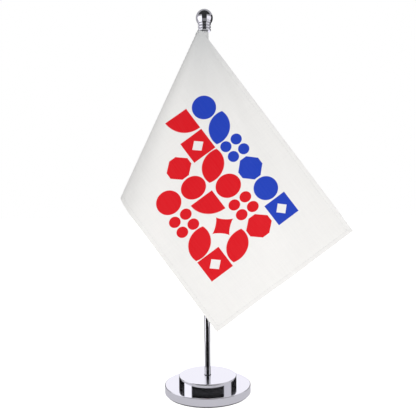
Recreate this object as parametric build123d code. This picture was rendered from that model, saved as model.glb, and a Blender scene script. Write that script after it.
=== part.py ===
from build123d import *
import math
import os

# Desk flag stand, in millimetres. The origin is on the desk, under the pole.
# +Z runs up the pole, -Y is the front, and the flag's free end points to +X.

# ---- base -----------------------------------------------------------------
base_diameter = 73.0
lower_height = 7.8           # desk to the top of the lower tier
rim_gap = 1.4                # the rim stays this far above the desk
cover_wall = 1.0
cover_edge_round = 0.5
upper_diameter = 49.0
upper_height = 7.0
upper_edge_round = 0.35
pad_thickness = 2.0
part_gap = 0.1               # between loose pieces inside the base
nut_across_flats = 7.0       # M4 nut
nut_height = 3.2
nut_pocket_slack = 0.2
screw_thread = 3.0           # M3 countersunk screws that join the two tiers
screw_head = 5.5
screw_grip = 4.0             # thread length in the upper tier
screw_circle = 32.0
screw_count = 3
screw_slot_width = 0.8
screw_slot_depth = 0.9
screw_tip_space = 0.5

# ---- pole -----------------------------------------------------------------
pole_length = 300.0
pole_diameter = 5.0
tube_wall = 0.5
pole_thread = 4.0            # M4 stud in the pole's foot
stud_grip = 12.0             # length of the stud pressed into the tube
stud_tip_lift = 0.3          # the stud's tip stays this far above the pad
stud_chamfer = 0.4
plug_length = 12.0
ring_thickness = 0.4         # rubber ring round the pole's foot
ring_width = 0.3
running_gap = 0.05           # radial clearance of everything that turns

# ---- finial ---------------------------------------------------------------
ball_diameter = 14.7
collar_diameter = 11.2
collar_height = 6.8          # underside of the collar to its upper rim
collar_rings = 3
collar_groove = 0.5
collar_groove_depth = 0.8
collar_ring_round = 0.4      # share of a ring's height, at each edge
seat_gap = 0.12              # between the ball and the collar's cup
finial_thread = 2.5          # M2.5 stud in the ball
finial_thread_reach = 7.0    # below the collar's underside
ball_grip = 6.0              # length of the stud fixed in the ball

# ---- flag -----------------------------------------------------------------
flag_height = 141.0          # hoist edge, along the pole
flag_length = 215.5          # fly, from the hoist seam
cloth_thickness = 0.35
sleeve_wall = 0.3
sleeve_ease = 0.9            # radial slack between sleeve and pole
sleeve_cap_gap = 0.1         # under and over the sleeve's closed top
seam_offset = 4.6            # hoist seam, left of the pole's axis
corner_rise = 3.0            # the flag's corner would meet this far above the pole
fold_lean = 25.3             # degrees from the pole to the folded edge
top_edge_lean = 36.2         # degrees from the pole to the flag's top edge
fold_samples = 30            # flat strips in each half of the cloth

# ---- worked out -----------------------------------------------------------
base_top = lower_height + upper_height
pole_radius = pole_diameter / 2
bore_radius = pole_radius - tube_wall
stud_radius = pole_thread / 2
pole_top = lower_height + pole_length
stud_tip = pad_thickness + stud_tip_lift
cover_bore = base_diameter / 2 - cover_wall
weight_top = lower_height - cover_wall
sleeve_inner = pole_radius + sleeve_ease
sleeve_outer = sleeve_inner + sleeve_wall
sleeve_top = pole_top + sleeve_cap_gap + sleeve_wall
collar_bottom = sleeve_top + sleeve_cap_gap
collar_top = collar_bottom + collar_height
collar_radius = collar_diameter / 2
ball_radius = ball_diameter / 2
ball_centre = collar_top + math.sqrt(ball_radius**2 - collar_radius**2)
finial_radius = finial_thread / 2
corner_z = pole_top + corner_rise
seam_y = -(sleeve_outer - sleeve_wall / 2)
sleeve_bottom = corner_z - flag_height
# A right-angled corner of cloth goes left, round the fold and right again.
fold_round = (90 - 2 * fold_lean - top_edge_lean) / (math.pi - 2)


def disc(radius, bottom, top):
    """A plain round plate about the pole's axis."""
    return Pos(0, 0, bottom) * Cylinder(
        radius, top - bottom, align=(Align.CENTER, Align.CENTER, Align.MIN)
    )


def round_edge(solid, radius, z, amount):
    """Rounds the circular edge of the given radius at the given height."""
    edges = [
        e for e in solid.edges().filter_by(GeomType.CIRCLE)
        if abs(e.radius - radius) < 1e-4 and abs(e.center().Z - z) < 1e-4
    ]
    return fillet(edges, amount)


def lathe(points):
    """Turns a half profile of (radius, height) points about the pole's axis."""
    profile = make_face(Plane.XZ * Polyline(*points, close=True))
    return revolve(profile, Axis.Z)


def screw_places():
    return PolarLocations(screw_circle / 2, screw_count)


# ---- base pieces ----------------------------------------------------------
def make_base_pad():
    return disc(cover_bore - part_gap, 0, pad_thickness)


def make_lower_cover():
    shell = disc(base_diameter / 2, rim_gap, lower_height)
    shell = round_edge(shell, base_diameter / 2, lower_height, cover_edge_round)
    shell -= disc(cover_bore, rim_gap, weight_top)
    shell -= disc(stud_radius + part_gap, weight_top, lower_height)
    for place in screw_places():
        shell -= place * disc(screw_thread / 2 + part_gap, weight_top, lower_height)
    return shell


def nut_prism(across_flats, bottom, top):
    outline = RegularPolygon(across_flats / 2, 6, major_radius=False)
    return Pos(0, 0, bottom) * extrude(outline, top - bottom)


def screw_solid():
    """One countersunk screw, head down, with a crossed drive slot."""
    head, shank = screw_head / 2, screw_thread / 2
    tip = lower_height + screw_grip
    cone_top = pad_thickness + head - shank
    screw = lathe([
        (0, pad_thickness), (head, pad_thickness), (shank, cone_top), (shank, tip), (0, tip),
    ])
    for turn in (0, 90):
        slot = Box(shank * 2, screw_slot_width, 2 * screw_slot_depth)
        screw -= Pos(0, 0, pad_thickness) * Rot(0, 0, turn) * slot
    return screw


def make_base_weight():
    weight = disc(cover_bore - part_gap, pad_thickness, weight_top)
    weight -= disc(stud_radius + part_gap, pad_thickness, weight_top)
    pocket_width = nut_across_flats + 2 * nut_pocket_slack
    weight -= nut_prism(pocket_width, pad_thickness, pad_thickness + nut_height)
    head, shank = screw_head / 2, screw_thread / 2 + part_gap
    sink = lathe([
        (0, pad_thickness), (head, pad_thickness),
        (shank, pad_thickness + head - shank), (shank, weight_top), (0, weight_top),
    ])
    for place in screw_places():
        weight -= place * sink
    return weight


def make_upper_disc():
    tier = disc(upper_diameter / 2, lower_height, base_top)
    tier = round_edge(tier, upper_diameter / 2, base_top, upper_edge_round)
    tier -= disc(pole_radius + running_gap, lower_height, base_top)
    hole_top = lower_height + screw_grip + screw_tip_space
    for place in screw_places():
        tier -= place * disc(screw_thread / 2, lower_height, hole_top)
    return tier


def make_tier_screws():
    return Compound([place * screw_solid() for place in screw_places()])


def make_captive_nut():
    nut = nut_prism(nut_across_flats, pad_thickness, pad_thickness + nut_height)
    return nut - disc(stud_radius + running_gap, pad_thickness, pad_thickness + nut_height)


# ---- pole pieces ----------------------------------------------------------
def make_foot_ring():
    inner = pole_radius + running_gap
    ring = disc(inner + ring_width, base_top, base_top + ring_thickness)
    ring = round_edge(ring, inner + ring_width, base_top + ring_thickness, ring_thickness / 2)
    return ring - disc(inner, base_top, base_top + ring_thickness)


def make_pole_tube():
    return disc(pole_radius, lower_height, pole_top) - disc(bore_radius, lower_height, pole_top)


def make_pole_stud():
    grip = disc(bore_radius, lower_height, lower_height + stud_grip)
    thread = disc(stud_radius, stud_tip, lower_height)
    thread = chamfer(thread.edges().group_by(Axis.Z)[0], stud_chamfer)
    return grip + thread


def make_pole_top_plug():
    plug = disc(bore_radius, pole_top - plug_length, pole_top)
    return plug - disc(finial_radius + running_gap, pole_top - plug_length, pole_top)


# ---- finial pieces --------------------------------------------------------
def make_finial_collar():
    collar = disc(collar_radius, collar_bottom, collar_top)
    ring_height = (collar_height - (collar_rings - 1) * collar_groove) / collar_rings
    groove_floor = collar_radius - collar_groove_depth
    for index in range(1, collar_rings):
        top = collar_bottom + index * (ring_height + collar_groove)
        bottom = top - collar_groove
        collar -= disc(collar_radius, bottom, top) - disc(groove_floor, bottom, top)
    outer = [
        e for e in collar.edges().filter_by(GeomType.CIRCLE)
        if abs(e.radius - collar_radius) < 1e-4 and e.center().Z < collar_top - ring_height / 2
    ]
    collar = fillet(outer, collar_ring_round * ring_height)
    collar -= Pos(0, 0, ball_centre) * Sphere(ball_radius + seat_gap)
    return collar - disc(finial_radius + running_gap, collar_bottom, collar_top)


def make_finial_ball():
    ball = Pos(0, 0, ball_centre) * Sphere(ball_radius)
    ball_bottom = ball_centre - ball_radius
    return ball - disc(finial_radius, ball_bottom, ball_bottom + ball_grip)


def make_finial_stud():
    tip = collar_bottom - finial_thread_reach
    stud = disc(finial_radius, tip, ball_centre - ball_radius + ball_grip)
    return chamfer(stud.edges().group_by(Axis.Z)[0], stud_chamfer)


# ---- flag pieces ----------------------------------------------------------
def make_flag_sleeve():
    """The hoist's tube round the pole, with a flat seam to the left and a closed top."""
    height = sleeve_top - sleeve_bottom
    seam = Pos(-seam_offset / 2, seam_y, sleeve_bottom) * Box(
        seam_offset, sleeve_wall, height, align=(Align.CENTER, Align.CENTER, Align.MIN)
    )
    tube = disc(sleeve_outer, sleeve_bottom, sleeve_top) + seam
    tube -= disc(sleeve_inner, sleeve_bottom, sleeve_top - sleeve_wall)
    return tube - disc(finial_radius + sleeve_ease / 2, sleeve_bottom, sleeve_top)


def fold_path():
    """The cloth's run round the corner, as (degrees right, degrees forward) of the pole.

    It leaves the seam to the left, turns forward round a soft fold and comes back
    in front of the pole to the flag's top edge.
    """
    turn = fold_lean - fold_round
    return Spline(
        (0, 0), (-0.5 * turn, -0.62 * fold_round), (-turn, -fold_round),
        (-fold_lean, 0), (-turn, fold_round), (-0.4 * turn, 0.55 * fold_round),
        (0, 0.5 * fold_round), (0.5 * top_edge_lean, 0.5 * fold_round),
        (top_edge_lean, 0.55 * fold_round),
    )


def direction(right, forward):
    """The unit vector down from the corner at these two angles in degrees."""
    a, b = math.radians(right), math.radians(forward)
    return Vector(
        math.sin(a) * math.cos(b), -math.sin(b), -math.cos(a) * math.cos(b)
    )


def cloth_rays():
    """For each strip edge, the cloth's two faces' directions and the ray's length."""
    path = fold_path()
    half = math.degrees(cloth_thickness / 2 / flag_height)
    far_corner = math.degrees(math.atan2(flag_length, flag_height))
    angles = [far_corner * i / fold_samples for i in range(fold_samples)]
    angles += [
        far_corner + (90 - far_corner) * i / fold_samples for i in range(fold_samples + 1)
    ]
    rays = []
    for angle in angles:
        place, along = path @ (angle / 90), path % (angle / 90)
        faces = [
            direction(place.X + side * half * along.Y, place.Y - side * half * along.X)
            for side in (-1, 1)
        ]
        if angle <= far_corner:
            reach = flag_height / math.cos(math.radians(angle))
        else:
            reach = flag_length / math.sin(math.radians(angle))
        rays.append((faces, reach))
    return rays


def flat_face(*points):
    return Face(Wire.make_polygon(points, close=True))


def make_flag_cloth():
    """Flat strips that all point at the flag's corner, cut level with the sleeve's top."""
    corner = Vector(-seam_offset, seam_y, corner_z)
    level = corner_z - sleeve_top
    strips = []
    for faces, reach in cloth_rays():
        near = [corner + d * (level / -d.Z) for d in faces]
        far = [corner + d * reach for d in faces]
        strips.append((near, far))
    skin = []
    for (near, far), (next_near, next_far) in zip(strips, strips[1:]):
        for side in (0, 1):
            skin.append(flat_face(near[side], far[side], next_far[side], next_near[side]))
        for row, next_row in ((near, next_near), (far, next_far)):
            skin.append(flat_face(row[0], row[1], next_row[1]))
            skin.append(flat_face(row[0], next_row[1], next_row[0]))
    for near, far in (strips[0], strips[-1]):
        skin.append(flat_face(near[0], far[0], far[1], near[1]))
    return Solid(Shell(skin))


PIECES = {
    "base_pad": make_base_pad,
    "lower_cover": make_lower_cover,
    "base_weight": make_base_weight,
    "upper_disc": make_upper_disc,
    "tier_screws": make_tier_screws,
    "captive_nut": make_captive_nut,
    "foot_ring": make_foot_ring,
    "pole_tube": make_pole_tube,
    "pole_stud": make_pole_stud,
    "pole_top_plug": make_pole_top_plug,
    "flag_sleeve": make_flag_sleeve,
    "flag_cloth": make_flag_cloth,
    "finial_collar": make_finial_collar,
    "finial_ball": make_finial_ball,
    "finial_stud": make_finial_stud,
}

os.makedirs("parts", exist_ok=True)
for name, make in PIECES.items():
    export_step(make(), f"parts/{name}.step")
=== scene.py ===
import math

import bpy
import numpy as np
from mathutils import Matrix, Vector


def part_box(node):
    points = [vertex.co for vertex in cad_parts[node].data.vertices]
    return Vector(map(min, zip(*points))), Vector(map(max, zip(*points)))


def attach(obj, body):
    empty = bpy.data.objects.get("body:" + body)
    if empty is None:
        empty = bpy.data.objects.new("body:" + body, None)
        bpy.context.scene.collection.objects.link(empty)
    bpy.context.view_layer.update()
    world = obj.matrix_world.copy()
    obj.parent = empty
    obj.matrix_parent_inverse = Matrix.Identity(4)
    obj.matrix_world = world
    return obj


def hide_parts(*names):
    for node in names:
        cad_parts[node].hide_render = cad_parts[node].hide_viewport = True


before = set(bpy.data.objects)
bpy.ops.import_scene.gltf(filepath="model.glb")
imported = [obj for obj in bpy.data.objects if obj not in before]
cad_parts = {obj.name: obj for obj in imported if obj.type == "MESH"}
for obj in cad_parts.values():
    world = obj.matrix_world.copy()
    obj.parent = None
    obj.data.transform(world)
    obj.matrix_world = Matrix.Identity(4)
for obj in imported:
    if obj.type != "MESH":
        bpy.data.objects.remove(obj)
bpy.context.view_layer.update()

# Everything is in metres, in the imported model's frame: +Z up the pole, -Y to the front.
MM = 0.001

# ---- the flag's cut and how it hangs --------------------------------------
FLAG_HEIGHT = 141.0 * MM     # hoist edge, along the pole
FLAG_LENGTH = 215.5 * MM     # fly
SEAM = Vector((-4.6, -3.55, 0)) * MM  # the hoist seam, left of the pole
POLE_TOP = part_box("pole_tube")[1].z
CORNER_Z = POLE_TOP + 3.0 * MM     # the flag's two edges would meet here
CLOTH_TOP = POLE_TOP + 0.15 * MM   # the corner is cut level here, under the finial's collar
FOLD_LEAN = 25.3             # degrees from the pole to the folded edge
TOP_EDGE_LEAN = 36.2         # degrees from the pole to the flag's top edge
CLOTH = 0.22 * MM            # thickness of one layer
LAYER_STEP = 1.1 * CLOTH     # from one layer's middle to the next one's, where they lie together
HEM_WIDTH = 4.2 * MM
GRID_STEP = 1.6 * MM
HEM_STEP = 0.55 * MM         # finer grid lines on and beside the hems
RIPPLE = 0.0055              # height of the cloth's radial folds, per distance from the corner
RAY_SAMPLES = 3000           # rays from the corner in the table that says how the cloth turns
RAY_OVERRUN = 300            # the table goes on past both edges by this many of its steps

# ---- the hoist's sleeve -----------------------------------------------------
SLEEVE_RADIUS = 3.45 * MM    # middle of the cloth, from the pole's axis
SLEEVE_WRINKLE = 0.13 * MM
SLEEVE_CAP = POLE_TOP + 0.27 * MM  # middle of the cloth where it closes over the pole's top
SLEEVE_HOLE = 1.75 * MM      # punched for the finial's screw
SLEEVE_SHOULDER = 1.3 * MM   # height over which the sleeve gathers in
SEAM_WIDTH = 3.2 * MM        # the sleeve's cloth runs this far on to both faces of the flag

# ---- stitches ---------------------------------------------------------------
STITCH_LENGTH = 2.1 * MM
STITCH_PITCH = 2.6 * MM
STITCH_RADIUS = 0.13 * MM
STITCH_INSET = 3.3 * MM      # from the cloth's edge


# ---- small helpers ----------------------------------------------------------
def link(obj):
    bpy.context.scene.collection.objects.link(obj)
    return obj


def mesh_object(name, points, faces, smooth=True):
    mesh = bpy.data.meshes.new(name)
    mesh.from_pydata([tuple(p) for p in points], [], faces)
    mesh.polygons.foreach_set("use_smooth", [smooth] * len(mesh.polygons))
    mesh.update()
    return link(bpy.data.objects.new(name, mesh))


def tube_faces(first, rings, sides):
    """The faces of a closed tube whose rings of points follow each other from point number first."""
    faces = []
    for i in range(rings - 1):
        for k in range(sides):
            a, b = first + i * sides + k, first + i * sides + (k + 1) % sides
            faces.append((a, b, b + sides, a + sides))
    last = first + (rings - 1) * sides
    faces.append(tuple(first + k for k in reversed(range(sides))))
    faces.append(tuple(last + k for k in range(sides)))
    return faces


def run_along(points):
    """How far along a line of points each one is."""
    return np.concatenate([[0], np.cumsum(np.linalg.norm(np.diff(points, axis=0), axis=1))])


def set_materials(obj, *materials):
    obj.data.materials.clear()
    for material in materials:
        obj.data.materials.append(material)


def add_cloth_place(obj, places):
    """Keeps each point's place on the flat cloth, for the weave and the print."""
    attribute = obj.data.attributes.new("cloth", "FLOAT_VECTOR", "POINT")
    attribute.data.foreach_set("vector", np.asarray(places, np.float32).ravel())


def thicken(obj, thickness, reverse_material=0):
    """Gives a sheet two faces, the second with the next material if that is asked for."""
    solidify = obj.modifiers.new("cloth", "SOLIDIFY")
    solidify.thickness = thickness
    solidify.offset = 0.0
    solidify.material_offset = reverse_material
    bpy.context.view_layer.objects.active = obj
    bpy.ops.object.modifier_apply(modifier=solidify.name)


def smoothstep(value, start, end):
    t = np.clip((value - start) / (end - start), 0.0, 1.0)
    return t * t * (3 - 2 * t)


# ---- material nodes ---------------------------------------------------------
class Shader:
    """A Principled material, with short calls that add nodes. Values are sockets or numbers."""

    def __init__(self, name, colour, roughness=0.5, **numbers):
        self.material = bpy.data.materials.new(name)
        self.material.use_nodes = True
        self.tree = self.material.node_tree
        self.principled = self.tree.nodes["Principled BSDF"]
        self.set("Base Color", (*colour, 1.0))
        self.set("Roughness", roughness)
        for key, number in numbers.items():
            self.set(key.replace("_", " "), number)
        self.object_place = self.add("ShaderNodeTexCoord").outputs["Object"]

    def add(self, kind, **settings):
        node = self.tree.nodes.new(kind)
        for key, setting in settings.items():
            setattr(node, key, setting)
        return node

    def feed(self, socket, value):
        if isinstance(value, bpy.types.NodeSocket):
            self.tree.links.new(value, socket)
        else:
            socket.default_value = value

    def set(self, name, value):
        self.feed(self.principled.inputs[name], value)

    def math(self, operation, *values, clamp=False):
        node = self.add("ShaderNodeMath", operation=operation, use_clamp=clamp)
        for socket, value in zip(node.inputs, values):
            self.feed(socket, value)
        return node.outputs[0]

    def vector(self, operation, *values):
        node = self.add("ShaderNodeVectorMath", operation=operation)
        for socket, value in zip(node.inputs, values):
            self.feed(socket, value)
        scalar = operation in ("LENGTH", "DISTANCE", "DOT_PRODUCT")
        return node.outputs["Value" if scalar else "Vector"]

    def split(self, vector):
        node = self.add("ShaderNodeSeparateXYZ")
        self.feed(node.inputs[0], vector)
        return node.outputs

    def noise(self, scale, detail=2.0, place=None, stretch=(1, 1, 1)):
        node = self.add("ShaderNodeTexNoise")
        node.inputs["Scale"].default_value = scale
        node.inputs["Detail"].default_value = detail
        place = place or self.object_place
        self.feed(node.inputs["Vector"], self.vector("MULTIPLY", place, stretch))
        return node.outputs["Fac"]

    def cells(self, scale):
        node = self.add("ShaderNodeTexVoronoi")
        node.inputs["Scale"].default_value = scale
        self.feed(node.inputs["Vector"], self.object_place)
        return node.outputs["Distance"]

    def remap(self, value, start, end, low, high):
        """value from start to end becomes low to high, and goes no further."""
        node = self.add("ShaderNodeMapRange")
        for socket, number in zip(node.inputs, (value, start, end, low, high)):
            self.feed(socket, number)
        return node.outputs[0]

    def mix(self, factor, first, second):
        node = self.add("ShaderNodeMix", data_type="RGBA")
        colours = [socket for socket in node.inputs if socket.type == "RGBA"]
        self.feed(node.inputs[0], factor)
        for socket, colour in zip(colours, (first, second)):
            self.feed(socket, colour if isinstance(colour, bpy.types.NodeSocket) else (*colour, 1))
        return next(socket for socket in node.outputs if socket.type == "RGBA")

    def bump(self, height, distance, strength=1.0):
        """Adds a bump over any earlier one."""
        node = self.add("ShaderNodeBump")
        node.inputs["Strength"].default_value = strength
        node.inputs["Distance"].default_value = distance
        self.feed(node.inputs["Height"], height)
        before = self.principled.inputs["Normal"]
        if before.is_linked:
            self.feed(node.inputs["Normal"], before.links[0].from_socket)
        self.set("Normal", node.outputs["Normal"])


# ---- metals, rubber and foam --------------------------------------------------
CHROME = (0.86, 0.86, 0.885)
POLE_PITCH = 0.7 * MM        # of the stud's M4 thread


def chrome(name, polish_lines=(1, 1, 1)):
    """Mirror plate with a breath of haze, faint polishing lines and worn edges."""
    shader = Shader(name, CHROME, Metallic=1.0)
    haze = shader.remap(shader.noise(90, 3), 0.35, 0.75, 0.025, 0.06)
    lines = shader.remap(shader.noise(900, 2, stretch=polish_lines), 0.55, 0.8, 0.0, 0.05)
    edges = shader.add("ShaderNodeNewGeometry").outputs["Pointiness"]
    wear = shader.math("MULTIPLY", shader.remap(edges, 0.52, 0.6, 0.0, 0.14), shader.noise(700, 3))
    shader.set("Roughness", shader.math("ADD", shader.math("ADD", haze, lines), wear))
    shader.bump(shader.noise(55, 1), 0.02 * MM, 0.25)
    shader.bump(shader.noise(900, 2, stretch=polish_lines), 0.001 * MM, 0.6)
    return shader.material


def steel(name, thread_pitch=None):
    """Machined steel; thread_pitch adds the dark flanks of a thread up the Z axis."""
    shader = Shader(name, (0.56, 0.56, 0.58), Metallic=1.0)
    shader.set("Roughness", shader.remap(shader.noise(1400, 3, stretch=(1, 1, 0.1)), 0.3, 0.7, 0.22, 0.42))
    shade = shader.remap(shader.noise(500, 3), 0.3, 0.7, 0.0, 0.35)
    shader.set("Base Color", shader.mix(shade, (0.6, 0.6, 0.62), (0.36, 0.35, 0.34)))
    shader.bump(shader.noise(2600, 2), 0.01 * MM, 0.5)
    if thread_pitch:
        turn = shader.math("MULTIPLY", shader.split(shader.object_place)[2], 2 * math.pi / thread_pitch)
        shader.bump(shader.math("SINE", turn), 0.12 * MM)
    return shader.material


def brass(name):
    shader = Shader(name, (0.62, 0.44, 0.17), Metallic=1.0)
    tarnish = shader.remap(shader.noise(400, 4), 0.35, 0.7, 0.0, 0.6)
    shader.set("Base Color", shader.mix(tarnish, (0.66, 0.47, 0.19), (0.36, 0.24, 0.1)))
    shader.set("Roughness", shader.remap(shader.noise(1800, 2), 0.3, 0.7, 0.25, 0.45))
    shader.bump(shader.noise(2600, 2), 0.01 * MM, 0.5)
    return shader.material


def cast_iron(name):
    shader = Shader(name, (0.05, 0.05, 0.052), Metallic=0.6)
    rust = shader.remap(shader.noise(160, 5), 0.55, 0.75, 0.0, 0.7)
    shader.set("Base Color", shader.mix(rust, (0.055, 0.055, 0.06), (0.1, 0.045, 0.025)))
    shader.set("Roughness", shader.remap(shader.noise(900, 3), 0.3, 0.7, 0.55, 0.85))
    shader.bump(shader.noise(1300, 4), 0.15 * MM, 0.7)
    return shader.material


def rubber(name):
    shader = Shader(name, (0.012, 0.012, 0.013))
    shader.set("Roughness", shader.remap(shader.noise(1500, 3), 0.3, 0.7, 0.38, 0.6))
    shader.bump(shader.noise(4000, 3), 0.02 * MM, 0.6)
    return shader.material


def foam(name):
    """Closed-cell foam: fine pits, a little dust on top of a dark grey."""
    shader = Shader(name, (0.03, 0.03, 0.033), roughness=0.92)
    dust = shader.remap(shader.noise(260, 4), 0.5, 0.8, 0.0, 0.5)
    shader.set("Base Color", shader.mix(dust, (0.026, 0.026, 0.029), (0.075, 0.073, 0.07)))
    shader.bump(shader.cells(2800), 0.12 * MM, 0.8)
    shader.bump(shader.noise(500, 3), 0.1 * MM, 0.5)
    return shader.material


# ---- the flag's print -----------------------------------------------------------
BLUE = (0.0125, 0.052, 0.5)
RED = (0.72, 0.0035, 0.011)
CLOTH_WHITE = (0.885, 0.878, 0.862)
CLOTH_THREAD = (0.845, 0.838, 0.826)
TOP_CORNER_SHADE_GREY = (0.54, 0.555, 0.565)   # painted shade: the grey the cloth turns at its top corner, standing in for the light that falls off there
# how far from the top corner the painted shade reaches
TOP_CORNER_SHADE_REACH = 100 * MM
PRINT_EDGE = 0.3 * MM        # the ink fades out over this
TILE_GAP = 0.7 * MM          # round each tile
PRINT_RISE = 0.01            # the rows climb this much along the fly


def disc_shape(shader, p):
    return shader.vector("LENGTH", p)


def octagon_shape(shader, p):
    """A square with its corners cut off."""
    x, y, _ = shader.split(shader.vector("ABSOLUTE", p))
    slant = shader.math("DIVIDE", shader.math("ADD", x, y), 1.3)
    return shader.math("MAXIMUM", shader.math("MAXIMUM", x, y), slant)


def leaf_shape(shader, p):
    """Where two discs overlap."""
    far = [shader.vector("DISTANCE", p, c) for c in ((-0.5, 0.5, 0), (0.5, -0.5, 0))]
    return shader.math("DIVIDE", shader.math("MAXIMUM", *far), 1.58)


def dots_shape(shader, p):
    """Four discs, two by two."""
    far = shader.vector("DISTANCE", shader.vector("ABSOLUTE", p), (0.52, 0.52, 0))
    return shader.math("ADD", far, 0.54)


def pierced_shape(shader, p):
    """A square with a diamond hole."""
    x, y, _ = shader.split(shader.vector("ABSOLUTE", p))
    hole = shader.math("SUBTRACT", 1.52, shader.math("ADD", x, y))
    return shader.math("MAXIMUM", shader.math("MAXIMUM", x, y), hole)


def fan_shape(shader, p):
    """A quarter disc about the tile's corner."""
    x, y, _ = shader.split(shader.vector("ABSOLUTE", p))
    far = shader.math("MULTIPLY", shader.vector("DISTANCE", p, (-1, -1, 0)), 0.5)
    return shader.math("MAXIMUM", shader.math("MAXIMUM", x, y), far)


def spark_shape(shader, p):
    """A four-pointed star with hollow sides."""
    x, y, _ = shader.split(shader.vector("ABSOLUTE", p))
    roots = [shader.math("POWER", v, 0.8) for v in (x, y)]
    return shader.math("POWER", shader.math("ADD", *roots), 1 / 0.8)


# Each row, in mm: its top edge below the flag's, its height, its start and end along the fly, its shapes.
PRINT_ROWS = {
    "blue": [
        (27.0, 22.0, 46.8, 175.5, (disc_shape, leaf_shape, dots_shape, octagon_shape, disc_shape,
                                   pierced_shape)),
    ],
    "red": [
        (50.0, 23.5, 48.8, 175.8, (fan_shape, pierced_shape, leaf_shape, disc_shape, dots_shape,
                                   octagon_shape)),
        (74.3, 23.5, 76.3, 178.0, (octagon_shape, disc_shape, fan_shape, spark_shape, leaf_shape)),
        (98.6, 23.5, 93.8, 180.0, (disc_shape, dots_shape, leaf_shape, pierced_shape)),
    ],
}


def print_mask(shader, place, rows):
    """1 where the ink of these rows is, from crisp-edged formulas on the flat cloth."""
    total = 0.0
    for top, height, start, end, shapes in rows:
        pitch = (end - start) / len(shapes)
        half = (pitch / 2 * MM - TILE_GAP, height / 2 * MM - TILE_GAP)
        for index, shape in enumerate(shapes):
            middle = ((start + (index + 0.5) * pitch) * MM, (top + height / 2) * MM)
            scale = (1 / half[0], 1 / half[1], 0)
            shift = (-middle[0] / half[0], -middle[1] / half[1], 0)
            p = shader.vector("MULTIPLY_ADD", place, scale, shift)
            inside = shader.math("SUBTRACT", 1.0, shape(shader, p))
            edge = shader.math("MULTIPLY_ADD", inside, min(half) / PRINT_EDGE, 0.5, clamp=True)
            total = shader.math("MAXIMUM", total, edge)
    return total


# ---- cloth ----------------------------------------------------------------------
WEAVE = 0.46 * MM            # from one thread to the next


def satin(name, printed=0.0):
    """White woven satin. printed is how strongly the ink shows on this face."""
    shader = Shader(name, CLOTH_WHITE, Specular_IOR_Level=0.16, Sheen_Weight=0.02, Sheen_Roughness=0.4)
    attribute = shader.add("ShaderNodeAttribute", attribute_name="cloth").outputs["Vector"]
    s, h, _ = shader.split(attribute)
    threads = [shader.math("SINE", shader.math("MULTIPLY", v, 2 * math.pi / WEAVE)) for v in (s, h)]
    weave = shader.math("MULTIPLY", *threads)
    slubs = shader.noise(700, 2, attribute, (0.06, 1, 1))
    floats = shader.noise(700, 2, attribute, (1, 0.06, 1))
    uneven = shader.math("ADD", shader.remap(slubs, 0.35, 0.75, 0, 0.5),
                         shader.remap(floats, 0.35, 0.75, 0, 0.3))
    clouds = shader.remap(shader.noise(26, 3, attribute), 0.3, 0.7, 0.0, 0.35)
    shade = shader.math("ADD", uneven, clouds, clamp=True)
    colour = shader.mix(shade, CLOTH_WHITE, CLOTH_THREAD)
    # Painted shade: the colour goes grey towards the top corner, in place of the light falling off near the
    # finial.
    painted_corner_shade = shader.remap(shader.vector("LENGTH", attribute), 0.0, TOP_CORNER_SHADE_REACH, 0.9, 0.0)
    colour = shader.mix(shader.math("POWER", painted_corner_shade, 2), colour, TOP_CORNER_SHADE_GREY)
    if printed:
        tilt = shader.math("MULTIPLY_ADD", s, PRINT_RISE, h)
        joined = shader.add("ShaderNodeCombineXYZ")
        shader.feed(joined.inputs[0], s)
        shader.feed(joined.inputs[1], tilt)
        place = joined.outputs[0]
        soak = shader.remap(slubs, 0.3, 0.7, printed, 0.992 * printed)
        for ink, rows in ((BLUE, PRINT_ROWS["blue"]), (RED, PRINT_ROWS["red"])):
            amount = shader.math("MULTIPLY", print_mask(shader, place, rows), soak)
            colour = shader.mix(amount, colour, ink)
    shader.set("Base Color", colour)
    shader.set("Roughness", shader.remap(slubs, 0.3, 0.7, 0.46, 0.6))
    shader.bump(weave, 0.03 * MM, 0.45)
    shader.bump(uneven, 0.04 * MM, 0.4)
    shader.bump(shader.noise(45, 3, attribute), 0.6 * MM, 0.16)
    return shader.material


def thread(name):
    shader = Shader(name, (0.8, 0.8, 0.8), Sheen_Weight=0.2)
    shader.set("Roughness", shader.remap(shader.noise(3000, 2), 0.3, 0.7, 0.4, 0.65))
    twist = shader.noise(5200, 1, stretch=(1, 1, 0.3))
    shader.set("Base Color", shader.mix(twist, (0.84, 0.84, 0.83), (0.66, 0.66, 0.66)))
    shader.bump(twist, 0.05 * MM, 0.6)
    return shader.material


# ---- how the flag hangs ------------------------------------------------------------
def spline(points, samples):
    """A smooth curve through the points: a natural cubic spline by chord length."""
    points = np.array(points, float)
    knots = run_along(points)
    step = np.diff(knots)[:, None]
    slope = np.diff(points, axis=0) / step
    count = len(points)
    system, right = np.eye(count), np.zeros_like(points)
    for i in range(1, count - 1):
        system[i, i - 1:i + 2] = step[i - 1, 0], 2 * (step[i - 1, 0] + step[i, 0]), step[i, 0]
        right[i] = 6 * (slope[i] - slope[i - 1])
    bend = np.linalg.solve(system, right)
    t = np.linspace(0, knots[-1], samples)
    i = np.clip(np.searchsorted(knots, t, side="right") - 1, 0, count - 2)
    u, v, width = (t - knots[i])[:, None], (knots[i + 1] - t)[:, None], step[i]
    return (
        bend[i] * v**3 / (6 * width) + bend[i + 1] * u**3 / (6 * width)
        + (points[i] / width - bend[i] * width / 6) * v
        + (points[i + 1] / width - bend[i + 1] * width / 6) * u
    )


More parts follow.
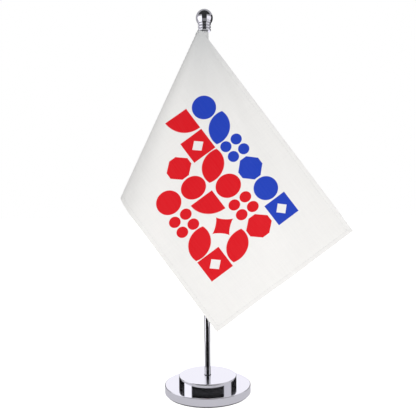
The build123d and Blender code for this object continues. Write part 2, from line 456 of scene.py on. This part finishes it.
def fold_directions():
    """Angles on the flat cloth at its corner, from the hoist edge, and where each ray points.

    The cloth goes left from the seam, turns forward round a soft fold, and comes back in
    front of the pole to the flag's top edge.
    """
    # With this radius of the fold the path is close to 90 degrees long, like the corner of the cloth.
    soft = (90 - 2 * FOLD_LEAN - TOP_EDGE_LEAN) / (math.pi - 2)
    turn = FOLD_LEAN - soft
    path = spline([
        (0, 0), (-0.5 * turn, -0.62 * soft), (-turn, -soft), (-FOLD_LEAN, 0), (-turn, soft),
        (-0.4 * turn, 0.55 * soft), (0, 0.5 * soft), (0.5 * TOP_EDGE_LEAN, 0.5 * soft),
        (TOP_EDGE_LEAN, 0.55 * soft),
    ], RAY_SAMPLES)
    before = path[:1] - RAY_OVERRUN * (path[1] - path[0])
    after = path[-1:] + RAY_OVERRUN * (path[-1] - path[-2])
    path = np.vstack([before, path, after])
    along = run_along(path)
    inner = along[-2] - along[1]
    angles = np.radians((along - along[1]) / inner * 90)
    right, forward = np.radians(path).T
    rays = np.stack([
        np.sin(right) * np.cos(forward), -np.sin(forward), -np.cos(right) * np.cos(forward),
    ], axis=1)
    return angles, rays


ANGLES, RAYS = fold_directions()
TANGENTS = np.gradient(RAYS, ANGLES, axis=0)
NORMALS = np.cross(RAYS, TANGENTS)
NORMALS /= np.linalg.norm(NORMALS, axis=1)[:, None]


def along_rays(table, angle):
    return np.stack([np.interp(angle, ANGLES, table[:, i]) for i in range(3)], axis=-1)


def ripple(far, angle):
    """Soft folds that run from the corner, and none at the seam or round the turn."""
    degrees = np.degrees(angle)
    calm = smoothstep(degrees, 2, 14) * (1 - 0.8 * np.exp(-((degrees - 27) / 8) ** 2))
    waves = (
        np.sin(2 * math.pi * degrees / 37 + 0.6)
        + 0.45 * np.sin(2 * math.pi * degrees / 19 + 2.1)
        + 0.25 * np.sin(2 * math.pi * degrees / 11 + far / (60 * MM))
    )
    return RIPPLE * far * waves * calm


def pucker(s, h):
    """The stitches draw the hems up a little."""
    edge = np.minimum(np.minimum(h, FLAG_HEIGHT - h), FLAG_LENGTH - s)
    run = np.where(FLAG_LENGTH - s < np.minimum(h, FLAG_HEIGHT - h), h, s)
    wave = np.sin(run / (1.3 * MM)) + 0.7 * np.sin(run / (2.9 * MM) + 1) + 0.8 * np.sin(run / (7 * MM))
    pull = np.exp(-((edge - STITCH_INSET) / (0.9 * MM)) ** 2)
    return 0.07 * MM * wave * np.exp(-np.abs(edge) / (5 * MM)) - 0.1 * MM * pull


def cloth_point(s, h, lift=0.0):
    """Where a point of the flat cloth hangs. lift is towards the printed face."""
    s, h = np.asarray(s, float), np.asarray(h, float)
    far, angle = np.hypot(s, h), np.arctan2(s, h)
    ray, normal = along_rays(RAYS, angle), along_rays(NORMALS, angle)
    cut = (CORNER_Z - CLOTH_TOP) / -ray[..., 2]
    far = np.maximum(far, cut)
    settle = smoothstep(far, 6 * MM, 30 * MM)
    rise = (ripple(far, angle) + pucker(s, h)) * settle + lift
    corner = np.array((SEAM.x, SEAM.y, CORNER_Z))
    return corner + far[..., None] * ray + rise[..., None] * normal


def cut_away(s, h):
    """True for points of the cloth above the level cut."""
    ray = along_rays(RAYS, np.arctan2(s, h))
    return np.hypot(s, h) < (CORNER_Z - CLOTH_TOP) / -ray[..., 2]


# ---- flag -----------------------------------------------------------------------
def grid_lines(length, hem_first, hem_last):
    """(place, lift) across the cloth, fine at the hems, which turn over to the reverse."""
    fine = HEM_WIDTH + 3 * HEM_STEP
    first = np.arange(0, fine, HEM_STEP) if hem_first else np.array([0.0])
    last = length - np.arange(0, fine, HEM_STEP)[::-1] if hem_last else np.array([length])
    middle_count = int((last[0] - first[-1]) / GRID_STEP) + 1
    middle = np.linspace(first[-1], last[0], middle_count)[1:-1]
    places = [(p, 0.0) for p in np.concatenate([first, middle, last])]
    half = LAYER_STEP / 2
    turn = [(half * math.sin(a), -half * (1 - math.cos(a))) for a in np.radians([45, 90, 135, 180])]
    back = [(-d, -LAYER_STEP) for d in np.linspace(0, HEM_WIDTH, 6)[1:]]
    flap = turn + back
    if hem_first:
        places = [(-d, lift) for d, lift in reversed(flap)] + places
    if hem_last:
        places = places + [(length + d, lift) for d, lift in flap]
    return np.array(places)


def make_flag():
    across = grid_lines(FLAG_LENGTH, False, True)
    down = grid_lines(FLAG_HEIGHT, True, True)
    s, h = np.meshgrid(across[:, 0], down[:, 0])
    lift_s, lift_h = np.meshgrid(across[:, 1], down[:, 1])
    # The top and bottom hems lie over the fly's hem where they cross.
    crossing = smoothstep(FLAG_LENGTH - HEM_WIDTH - s, 2 * MM, 0)
    lift = lift_s + lift_h * (1 + crossing)
    points = cloth_point(s, h, lift).reshape(-1, 3)
    gone = cut_away(s, h).ravel()
    rows, columns = s.shape
    faces = []
    for i in range(rows - 1):
        for j in range(columns - 1):
            corners = (i * columns + j, (i + 1) * columns + j, (i + 1) * columns + j + 1, i * columns + j + 1)
            if not all(gone[k] for k in corners):
                faces.append(corners)
    used = sorted({k for face in faces for k in face})
    renumber = {k: i for i, k in enumerate(used)}
    faces = [tuple(renumber[k] for k in face) for face in faces]
    flag = mesh_object("flag_panel", points[used], faces)
    places = np.stack([s, h, np.zeros_like(s)], axis=-1).reshape(-1, 3)
    add_cloth_place(flag, places[used])
    set_materials(flag, satin("flag_satin_face", 1.0), satin("flag_satin_reverse", 0.16))
    thicken(flag, CLOTH, 1)
    return flag


# ---- sleeve -----------------------------------------------------------------------
ROUND_POINTS, STRAIGHT_POINTS = 44, 6    # of the outline, round the pole and to the seam on each side
CAP_RINGS = 6


def teardrop():
    """The sleeve's outline from above, from the seam round the pole and back to the seam."""
    tip = np.array((SEAM.x, SEAM.y))
    heading = math.atan2(SEAM.y, SEAM.x)
    spread = math.acos(SLEEVE_RADIUS / math.hypot(SEAM.x, SEAM.y))
    angles = np.linspace(heading + spread, heading - spread + 2 * math.pi, ROUND_POINTS)
    arc = SLEEVE_RADIUS * np.stack([np.cos(angles), np.sin(angles)], axis=1)
    share = np.linspace(1, 0, STRAIGHT_POINTS, endpoint=False)[:, None]
    out = arc[0] * (1 - share) + tip * share
    back = arc[-1] * (1 - share) + tip * share
    return np.vstack([out, arc, back[:0:-1]])


def sleeve_wall(outline, run, shoulder):
    """Points of the sleeve's side and their places on the flat cloth, from its turned-up hem."""
    bottom = CORNER_Z - FLAG_HEIGHT
    first = bottom + 0.3 * MM
    levels = [(z, LAYER_STEP) for z in np.linspace(bottom + HEM_WIDTH, first, 6)]
    levels += [(bottom, LAYER_STEP / 2)] + [(z, 0.0) for z in np.arange(first, shoulder, 1.5 * MM)]
    points, places = [], []
    for z, inset in levels:
        for along, (x, y) in zip(run, outline):
            around, far = math.atan2(y, x), math.hypot(x, y)
            free = 1 - smoothstep(far, 3.6 * MM, 4.6 * MM)
            wrinkle = SLEEVE_WRINKLE * free * (
                math.sin(3 * around + z / (7 * MM)) + 0.6 * math.sin(z / (3.1 * MM) + 2 * around)
            )
            scale = (far + wrinkle - inset) / far
            points.append((x * scale, y * scale, z))
            places.append((along, CORNER_Z - z, 0))
    return points, places


def sleeve_cap(outline, run, shoulder):
    """Points where the sleeve gathers in over the pole's top, as far as its punched hole."""
    points, places = [], []
    for turn in np.linspace(0, 1, CAP_RINGS + 1)[1:]:
        across, up = math.cos(turn * math.pi / 2) ** 0.8, math.sin(turn * math.pi / 2)
        for along, (x, y) in zip(run, outline):
            around, far = math.atan2(y, x), math.hypot(x, y)
            gather = 0.16 * MM * math.sin(9 * around) * math.sin(math.pi * turn) - 0.02 * MM
            near = SLEEVE_HOLE + (far - SLEEVE_HOLE) * across
            z = shoulder + SLEEVE_SHOULDER * up
            points.append((x * near / far, y * near / far, z + gather))
            places.append((along, CORNER_Z - z - (far - near), 0))
    return points, places


def seam_strip(first, side, shoulder):
    """One end of the sleeve's cloth, which lies on a face of the flag behind the seam."""
    s_lines = np.linspace(0.1 * MM, SEAM_WIDTH, 5)
    h_lines = np.linspace(CORNER_Z - shoulder + 0.4 * MM, FLAG_HEIGHT - 0.2 * MM, 92)
    s, h = np.meshgrid(s_lines, h_lines)
    points = cloth_point(s, h, side * LAYER_STEP).reshape(-1, 3)
    places = np.stack([s, h, np.zeros_like(s)], axis=-1).reshape(-1, 3)
    faces, width = [], len(s_lines)
    for i in range(len(h_lines) - 1):
        for k in range(width - 1):
            a = first + i * width + k
            face = (a, a + 1, a + 1 + width, a + width)
            faces.append(face if side < 0 else face[::-1])
    return points, places, faces


def make_sleeve():
    """A tube of cloth round the pole, sewn to the flag, and the girth of its cloth."""
    outline = teardrop()
    run = run_along(outline)
    shoulder = SLEEVE_CAP - SLEEVE_SHOULDER
    points, places = sleeve_wall(outline, run, shoulder)
    cap_points, cap_places = sleeve_cap(outline, run, shoulder)
    points, places = points + cap_points, places + cap_places
    count, rows = len(outline), len(points) // len(outline)
    faces = [
        (i * count + k, i * count + (k + 1) % count, (i + 1) * count + (k + 1) % count, (i + 1) * count + k)
        for i in range(rows - 1) for k in range(count)
    ]
    for side in (1, -1):
        strip_points, strip_places, strip_faces = seam_strip(len(points), side, shoulder)
        points.extend(strip_points)
        places.extend(strip_places)
        faces.extend(strip_faces)
    sleeve = mesh_object("hoist_sleeve", points, faces)
    add_cloth_place(sleeve, places)
    set_materials(sleeve, satin("sleeve_satin_weave"))
    thicken(sleeve, CLOTH)
    return sleeve, run[-1]


# ---- stitches ------------------------------------------------------------------------
def stitch_rows():
    """(start, end, outward direction) of every stitch, for both faces."""
    last_s, last_h = FLAG_LENGTH - STITCH_INSET, FLAG_HEIGHT - STITCH_INSET
    rows = [
        ((7 * MM, STITCH_INSET), (last_s, STITCH_INSET)),
        ((last_s, STITCH_INSET), (last_s, last_h)),
        ((4 * MM, last_h), (last_s, last_h)),
        ((0.5 * SEAM_WIDTH, 8 * MM), (0.5 * SEAM_WIDTH, FLAG_HEIGHT - 1 * MM)),
    ]
    for index, (start, end) in enumerate(rows):
        start, end = np.array(start), np.array(end)
        length = np.linalg.norm(end - start)
        count = int(length / STITCH_PITCH)
        step = (end - start) / count
        layers = (0.5, 1.6) if index < 3 else (1.6, 1.6)
        for side, layer in zip((1, -1), layers):
            lift = side * (layer * CLOTH + 0.04 * MM)
            for k in range(count):
                ends = [start + step * (k + f) for f in (0.1, 0.1 + STITCH_LENGTH / STITCH_PITCH)]
                low, high = (cloth_point(*e, lift) for e in ends)
                out = cloth_point(*ends[0], lift + side * MM) - low
                yield low, high, out


def sleeve_hem_stitches():
    """One ring of stitches round the sleeve's lower hem."""
    outline = teardrop()
    z = CORNER_Z - FLAG_HEIGHT + STITCH_INSET
    run = run_along(outline)
    for start in np.arange(0.4 * MM, run[-1] - STITCH_LENGTH, STITCH_PITCH):
        ends = []
        for place in (start, start + STITCH_LENGTH):
            x, y = (np.interp(place, run, outline[:, i]) for i in (0, 1))
            out = np.array((x, y, 0)) / math.hypot(x, y)
            ends.append(np.array((x, y, z)) + out * (0.62 * CLOTH + SLEEVE_WRINKLE * 0.5))
        yield ends[0], ends[1], out


def make_thread():
    """Every stitch as a short bowed bead of thread, sunk at both ends."""
    rings = ((0.0, 0.25), (0.2, 0.9), (0.5, 1.0), (0.8, 0.9), (1.0, 0.25))    # place along it, size
    sides, flat = 6, 0.75        # a bead is less high than wide
    points, faces = [], []
    for low, high, out in [*stitch_rows(), *sleeve_hem_stitches()]:
        out = out / np.linalg.norm(out)
        run = (high - low) / np.linalg.norm(high - low)
        across = np.cross(run, out)
        first = len(points)
        for place, size in rings:
            middle = low + (high - low) * place + out * STITCH_RADIUS * (size - flat)
            for k in range(sides):
                a = 2 * math.pi * k / sides
                offset = across * math.cos(a) + out * math.sin(a) * flat
                points.append(middle + offset * STITCH_RADIUS * size)
        faces += tube_faces(first, len(rings), sides)
    stitches = mesh_object("hem_thread", points, faces)
    set_materials(stitches, thread("sewing_thread"))
    return stitches


# ---- other pieces that replace CAD nodes ---------------------------------------------
PAD_SOFT = 0.35 * MM         # how far the pad's edge rounds and bulges
PAD_SIDES = 240
PAD_ROUGH = 0.04 * MM        # how far its cut edge strays


def make_foam_pad():
    """The foam disc under the weight, its edge pressed a little outwards by the stand's weight."""
    low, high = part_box("base_pad")
    radius, middle, half = high.x, (low.z + high.z) / 2, (high.z - low.z) / 2
    inner = radius - 1.3 * PAD_SOFT
    profile = [(radius * f, low.z) for f in (0.2, 0.6, 0.9)] + [(radius - 1.6 * PAD_SOFT, low.z)]
    for tilt in np.radians(np.linspace(-90, 90, 9)):
        profile.append((inner + 1.3 * PAD_SOFT * math.cos(tilt), middle + half * math.sin(tilt)))
    profile += [(radius * f, high.z) for f in (0.9, 0.6, 0.2)]
    points = []
    for ring_radius, z in profile:
        for k in range(PAD_SIDES):
            a = 2 * math.pi * k / PAD_SIDES
            r = ring_radius + PAD_ROUGH * (math.sin(23 * a) + math.sin(37 * a + 1))
            points.append((r * math.cos(a), r * math.sin(a), z))
    pad = mesh_object("foam_pad", points, tube_faces(0, len(profile), PAD_SIDES))
    set_materials(pad, foam("pad_foam_cells"))
    return pad


FINIAL_PITCH = 0.45 * MM
THREAD_DEPTH = 0.26 * MM
SCREW_TIP = 0.5 * MM         # the height of the bevel at its tip
SCREW_SIDES = 28


def make_finial_screw():
    """The ball's M2.5 screw with its real helical thread and a bevelled tip."""
    low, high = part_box("finial_stud")
    radius, length = high.x, high.z - low.z
    rows = int(length / (FINIAL_PITCH / 8))
    points = []
    for i in range(rows + 1):
        z = low.z + length * i / rows
        for k in range(SCREW_SIDES):
            a = 2 * math.pi * k / SCREW_SIDES
            turn = (z / FINIAL_PITCH - k / SCREW_SIDES) % 1.0
            crest = 1 - abs(2 * turn - 1)
            r = radius - THREAD_DEPTH * (1 - min(1.0, 1.25 * crest))
            r = min(r, radius - SCREW_TIP + (z - low.z))
            points.append((r * math.cos(a), r * math.sin(a), z))
    screw = mesh_object("finial_screw", points, tube_faces(0, rows + 1, SCREW_SIDES))
    set_materials(screw, steel("finial_screw_steel"))
    return screw


# ---- stage ---------------------------------------------------------------------------
CARD_RADIUS = 160 * MM       # the reflection cards stand this far from the pole
CARD_TOP = 408 * MM
DARK, SMOKE, GREY, PALE, WHITE, BRIGHT = 0.004, 0.035, 0.42, 0.72, 1.03, 1.28
LAVENDER = (0.98, 0.965, 1.04)   # the cards' tint, which shows on the chrome


def emitter(name, brightness):
    material = bpy.data.materials.new(name)
    material.use_nodes = True
    tree = material.node_tree
    tree.nodes.remove(tree.nodes["Principled BSDF"])
    emission = tree.nodes.new("ShaderNodeEmission")
    emission.inputs["Color"].default_value = (*LAVENDER, 1)
    emission.inputs["Strength"].default_value = brightness
    tree.links.new(emission.outputs[0], tree.nodes["Material Output"].inputs[0])
    material.cycles.emission_sampling = "NONE"
    return material


def reflection_only(obj, brightness):
    """A card that chrome mirrors and nothing else sees, as a photographer's flags are set."""
    set_materials(obj, emitter(obj.name, brightness))
    for ray in ("camera", "diffuse", "shadow", "transmission", "volume_scatter"):
        setattr(obj, "visible_" + ray, False)


def card(name, edges, steps, brightness):
    """A card between two arcs, each (radius, height, left azimuth, right azimuth)."""
    points = []
    for radius, z, left, right in edges:
        for a in np.radians(np.linspace(left, right, steps + 1)):
            points.append((radius * math.sin(a), -radius * math.cos(a), z))
    faces = [(k, k + 1, k + steps + 2, k + steps + 1) for k in range(steps)]
    reflection_only(mesh_object(name, points, faces, smooth=False), brightness)


def wall_card(name, low, high, brightness):
    """low and high are (height, left azimuth, right azimuth); azimuth 0 is the camera's side, + right."""
    card(name, [(CARD_RADIUS, *low), (CARD_RADIUS, *high)], 24, brightness)


def ring_card(name, z, inner, outer, left, right, brightness):
    card(name, [(inner, z, left, right), (outer, z, left, right)], 48, brightness)


# Azimuths in degrees, and heights, where the cards end.
FRONT_LOW, FRONT_HIGH = 62, 33   # half widths of the dark front, low down and at the finial
SIDE_EDGE, BACK_EDGE = 99, 160   # the white sides end at the first, the corners at the second
STRIP_TOP = 70 * MM          # the corners are dark up to here, for the dark ends of the upper disc
LOW, HIGH = 76 * MM, 260 * MM    # the front narrows between these
WINDOW_TOP = 356 * MM        # the collar mirrors the grey cards above this height
GLINT = (57 * MM, 58.4 * MM)     # a faint strip that marks the joint between the discs
NEAR_FLOOR = (36.7 * MM, 62.6 * MM)  # inner and outer radius, from the base's rim
NEAR_LEVEL, NEAR_HEIGHT = 0.6, 0.3 * MM
FAR_HEIGHT = 0.4 * MM        # of the floor cards beyond the near one


def make_cards():
    """What the chrome mirrors: a dark front, white sides and back, dark low corners, a grey floor."""
    low, high = FRONT_LOW, FRONT_HIGH
    for index, (z0, half0, z1, half1, level) in enumerate((
            (0, low, GLINT[0], low, DARK), (GLINT[0], low, GLINT[1], low, GREY / 3),
            (GLINT[1], low, LOW, low, DARK), (LOW, low, HIGH, high, GREY / 2),
            (HIGH, high, CARD_TOP, high, SMOKE))):
        wall_card(f"card_front_{index}", (z0, -half0, half0), (z1, -half1, half1), level)
    side = SIDE_EDGE
    for index, (z0, half0, z1, half1, left_level, right_level) in enumerate((
            (0, low, LOW, low, BRIGHT, PALE), (LOW, low, HIGH, high, BRIGHT, PALE),
            (HIGH, high, WINDOW_TOP, high, BRIGHT, WHITE), (WINDOW_TOP, high, CARD_TOP, high, GREY, GREY))):
        wall_card(f"card_left_{index}", (z0, -side, -half0), (z1, -side, -half1), left_level)
        wall_card(f"card_right_{index}", (z0, half0, side), (z1, half1, side), right_level)
    back = BACK_EDGE
    for index, (z0, z1, left_level, right_level) in enumerate((
            (0, STRIP_TOP, DARK, DARK), (STRIP_TOP, HIGH, PALE, PALE), (HIGH, CARD_TOP, GREY, SMOKE))):
        wall_card(f"card_corner_left_{index}", (z0, -back, -side), (z1, -back, -side), left_level)
        wall_card(f"card_corner_right_{index}", (z0, side, back), (z1, side, back), right_level)
    wall_card("card_back", (0, back, 360 - back), (CARD_TOP, back, 360 - back), WHITE)
    ring_card("card_ceiling", CARD_TOP, 0, CARD_RADIUS, -90, 90, SMOKE)
    ring_card("card_ceiling_back", CARD_TOP, 0, CARD_RADIUS, 90, 270, GREY)
    inner, outer = NEAR_FLOOR
    ring_card("card_floor_near", NEAR_HEIGHT, inner, outer, -180, 180, NEAR_LEVEL)
    ring_card("card_floor_front", FAR_HEIGHT, outer, CARD_RADIUS, -low, low, DARK)
    ring_card("card_floor_left", FAR_HEIGHT, outer, CARD_RADIUS, -back, -low, GREY)
    ring_card("card_floor_right", FAR_HEIGHT, outer, CARD_RADIUS, low, back, GREY)


FLOOR_HALF = 8.0
FLOOR_GLOW = 0.8             # keeps the paper white to its edges, as in the photo


def make_floor():
    corners = [(x * FLOOR_HALF, y * FLOOR_HALF, 0) for x, y in ((-1, -1), (1, -1), (1, 1), (-1, 1))]
    floor = mesh_object("floor", corners, [(0, 1, 2, 3)], smooth=False)
    shader = Shader("floor_paper", (0.88, 0.88, 0.88), roughness=0.9, Specular_IOR_Level=0.1)
    shader.set("Emission Color", (1, 1, 1, 1))
    shader.set("Emission Strength", FLOOR_GLOW)
    shader.bump(shader.noise(600, 3), 0.02 * MM, 0.3)
    set_materials(floor, shader.material)


def make_world(camera_level, fill_level):
    """A white sweep behind everything, and a weaker even fill for lighting."""
    world = bpy.data.worlds.new("world")
    bpy.context.scene.world = world
    world.use_nodes = True
    tree = world.node_tree
    background = tree.nodes["Background"]
    rays = tree.nodes.new("ShaderNodeLightPath")
    level = tree.nodes.new("ShaderNodeMapRange")
    level.inputs["To Min"].default_value = fill_level
    level.inputs["To Max"].default_value = camera_level
    tree.links.new(rays.outputs["Is Camera Ray"], level.inputs["Value"])
    tree.links.new(level.outputs[0], background.inputs["Strength"])
    background.inputs["Color"].default_value = (1, 1, 1, 1)


def area_light(name, place, target, size, power, colour=(1, 1, 1)):
    data = bpy.data.lights.new(name, "AREA")
    data.shape, data.size, data.energy, data.color = "DISK", size, power, colour
    light = link(bpy.data.objects.new(name, data))
    light.location = place
    light.rotation_euler = (Vector(target) - Vector(place)).to_track_quat("-Z", "Y").to_euler()
    light.visible_glossy = False


# ---- camera -----------------------------------------------------------------------
CAMERA_HEIGHT = 157.3 * MM
CAMERA_BACK = 433.0 * MM
CAMERA_RIGHT = 1.6 * MM
CAMERA_ROLL = 0.55           # degrees
CAMERA_LENS, SENSOR_WIDTH = 43.8, 36.0   # millimetres, as Blender takes them


def make_camera():
    data = bpy.data.cameras.new("camera")
    data.sensor_width = SENSOR_WIDTH
    data.lens = CAMERA_LENS
    camera = link(bpy.data.objects.new("camera", data))
    camera.location = (CAMERA_RIGHT, -CAMERA_BACK, CAMERA_HEIGHT)
    camera.rotation_euler = (math.radians(90), math.radians(CAMERA_ROLL), 0)
    bpy.context.scene.camera = camera


# ---- put together -------------------------------------------------------------------
make_camera()
make_floor()
make_world(camera_level=1.0, fill_level=0.44)
make_cards()
area_light("key", place=(0.06, -0.24, 0.04), target=(0.03, 0, 0.12), size=0.3, power=0.27,
           colour=(1, 0.985, 0.965))
area_light("top_fill", place=(-0.35, -0.3, 0.75), target=(0, 0, 0.2), size=0.5, power=0.2)
bpy.context.scene.view_settings.view_transform = "Standard"

MATERIALS = {
    "lower_cover": chrome("chrome_lower_plate"),
    "upper_disc": chrome("chrome_upper_plate"),
    "pole_tube": chrome("chrome_pole_plate", (1, 1, 0.02)),
    "finial_collar": chrome("chrome_collar_plate", (0.3, 0.3, 2)),
    "finial_ball": chrome("chrome_ball_plate"),
    "foot_ring": rubber("ring_rubber_black"),
    "base_weight": cast_iron("weight_cast_iron"),
    "tier_screws": steel("screw_steel_machined"),
    "captive_nut": steel("nut_steel_machined"),
    "pole_stud": steel("stud_steel_threaded", POLE_PITCH),
    "pole_top_plug": brass("plug_brass_turned"),
}
for node, material in MATERIALS.items():
    set_materials(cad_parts[node], material)

flag = make_flag()
sleeve, sleeve_girth = make_sleeve()
stitches = make_thread()
for piece in (flag, sleeve, stitches):
    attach(piece, "flag")
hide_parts("flag_cloth")
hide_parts("flag_sleeve")

pad = make_foam_pad()
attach(pad, "base")
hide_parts("base_pad")

screw = make_finial_screw()
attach(screw, "finial")
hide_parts("finial_stud")
